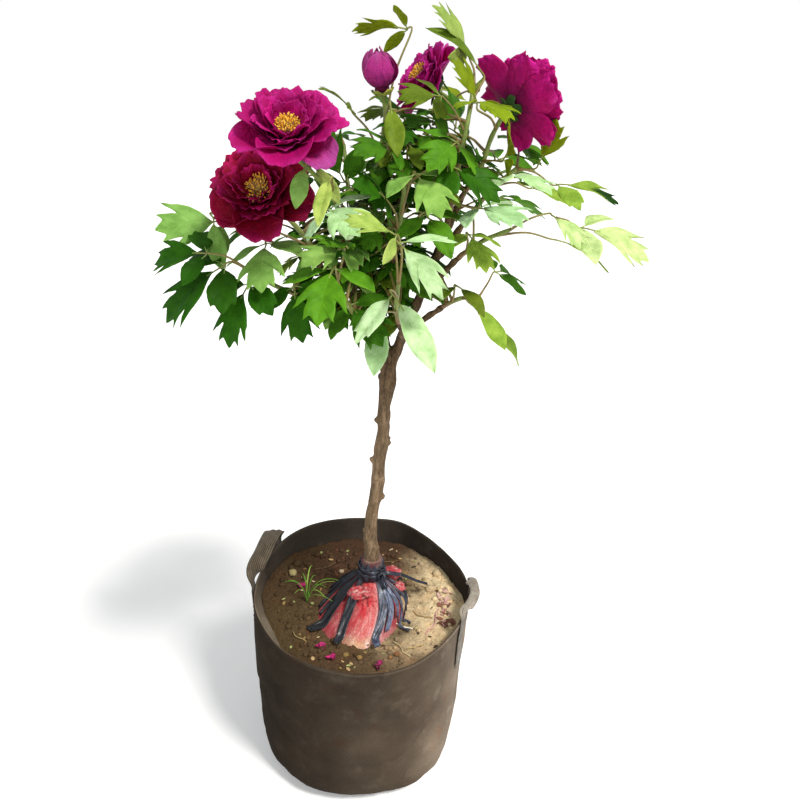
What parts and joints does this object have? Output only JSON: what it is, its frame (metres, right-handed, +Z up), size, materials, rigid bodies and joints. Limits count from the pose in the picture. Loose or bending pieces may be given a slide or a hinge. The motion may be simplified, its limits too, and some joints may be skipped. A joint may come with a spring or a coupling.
{
  "type": "potted tree peony",
  "caption": "Standard tree peony: open blooms and a bud over cut leaves on one bare trunk, its tied root ball set in a soil-filled soft fabric grow bag with webbing loops.",
  "frame": {"origin": "centre of the grow bag's flat base, on the floor", "axes": "+Z up along the trunk; the front, with the two left blooms nearest, faces -Y; +X to the right as seen from the front"},
  "size_m": [0.668, 0.5412, 1.285],
  "materials": {
    "bag_fabric": "dark brown-grey non-woven felt, matte",
    "webbing": "grey-brown woven webbing, matte",
    "soil": "loose loam, damp and dark at the back, dry and tan at the front",
    "net": "red knitted net round the root ball",
    "black_strip": "blue-black cut strips of woven plastic, low sheen",
    "bark": "light grey-brown bark, rough",
    "petal": "magenta to crimson petals, satin",
    "stamen": "golden yellow, powdery",
    "leaf": "green leaves with paler undersides, satin",
    "grass": "fresh green blades, satin"
  },
  "bodies": {
    "root": {"grow_bag": "bag_fabric", "handle_left": "webbing", "handle_right": "webbing", "soil": "soil", "root_ball": "net", "tie_and_strips": "black_strip", "trunk_and_limbs": "bark", "bloom_upper_left": "petal", "bloom_lower_left": "petal", "bloom_top": "petal", "bloom_right": "petal", "bud": "petal", "stamens_upper_left": "stamen", "stamens_lower_left": "stamen", "stamens_top": "stamen", "stamens_right": "stamen", "shoot_bloom_lower_left": "leaf", "shoot_bloom_upper_left": "leaf", "shoot_left_low": "leaf", "shoot_left_back": "leaf", "shoot_bud": "leaf", "shoot_bloom_top": "leaf", "shoot_back_left": "leaf", "shoot_back_low": "leaf", "shoot_front_left": "leaf", "shoot_bloom_right": "leaf", "shoot_top": "leaf", "shoot_right_low": "leaf", "shoot_right_middle": "leaf", "shoot_right_upper": "leaf", "shoot_right_back": "leaf", "shoot_front_right": "leaf", "shoot_middle": "leaf", "grass_tuft": "grass"}
  },
  "joints": []
}
